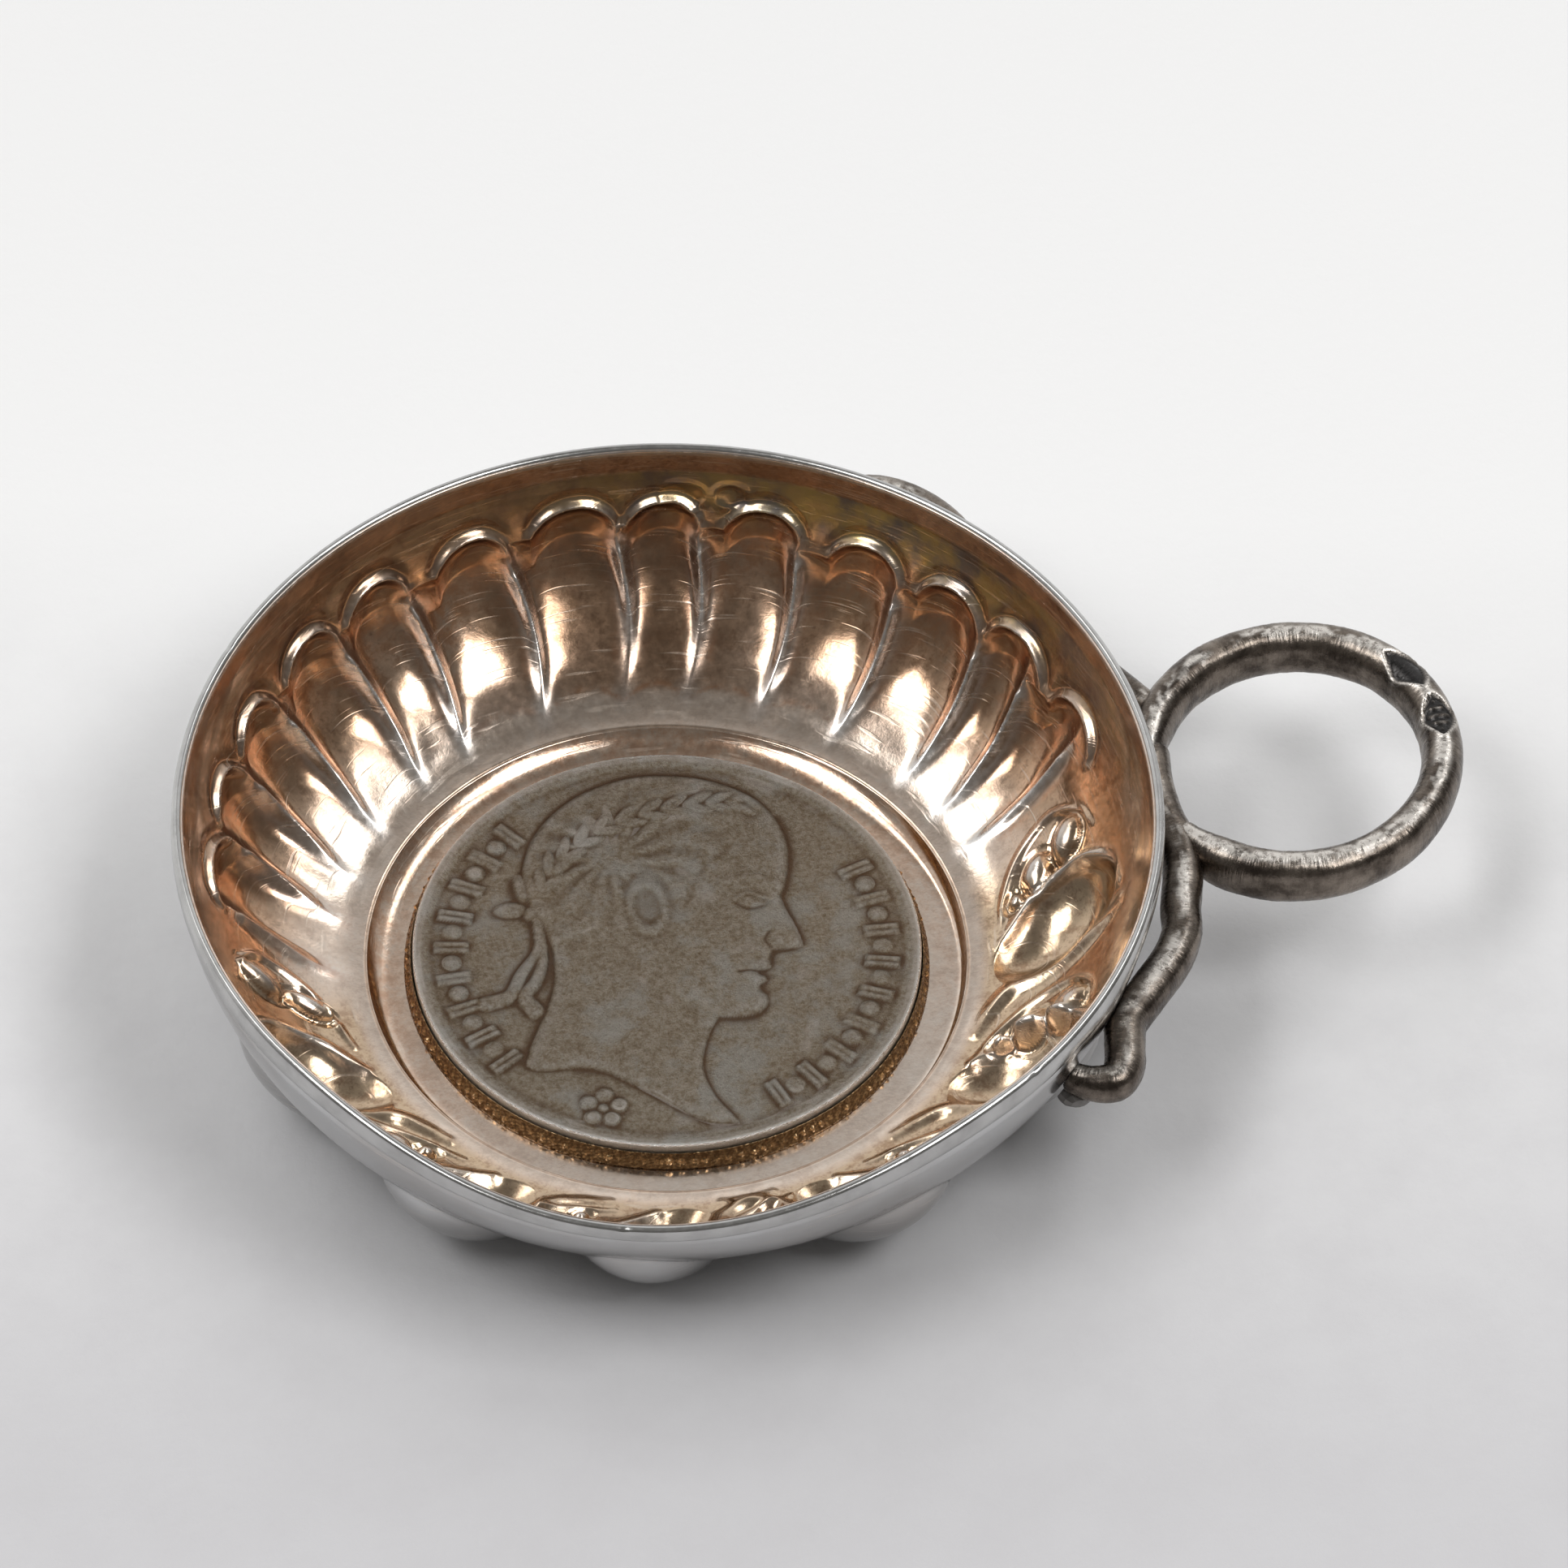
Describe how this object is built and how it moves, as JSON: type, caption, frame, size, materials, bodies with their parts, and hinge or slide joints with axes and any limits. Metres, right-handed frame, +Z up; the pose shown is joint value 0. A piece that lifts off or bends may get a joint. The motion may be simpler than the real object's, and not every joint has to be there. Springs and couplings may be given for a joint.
{
  "type": "wine taster",
  "caption": "Shallow embossed silver wine taster, gilt inside, with a coin set in its base and a thumb ring on arms that follow the wall.",
  "frame": {"origin": "middle of the coin's flat underside, on which the taster stands", "axes": "+X toward the thumb ring, +Z up out of the bowl, +Y toward the fluted half"},
  "size_m": [0.0947, 0.0723, 0.0173],
  "materials": {
    "bowl": "silver with a worn rose gold wash inside",
    "rim_wire": "polished silver",
    "coin": "worn toned silver",
    "coin_collar": "worn dark gilding",
    "handle": "oxidised silver with bright worn edges",
    "solder": "matte silver solder"
  },
  "bodies": {
    "root": {"bowl": "bowl", "rim_wire": "rim_wire", "coin": "coin", "coin_collar": "coin_collar", "serpent_handle": "handle", "far_arm": "handle", "solder_fork": "solder", "solder_near_arm": "solder", "solder_near_foot": "solder", "solder_far_arm": "solder", "solder_far_foot": "solder"}
  },
  "joints": []
}
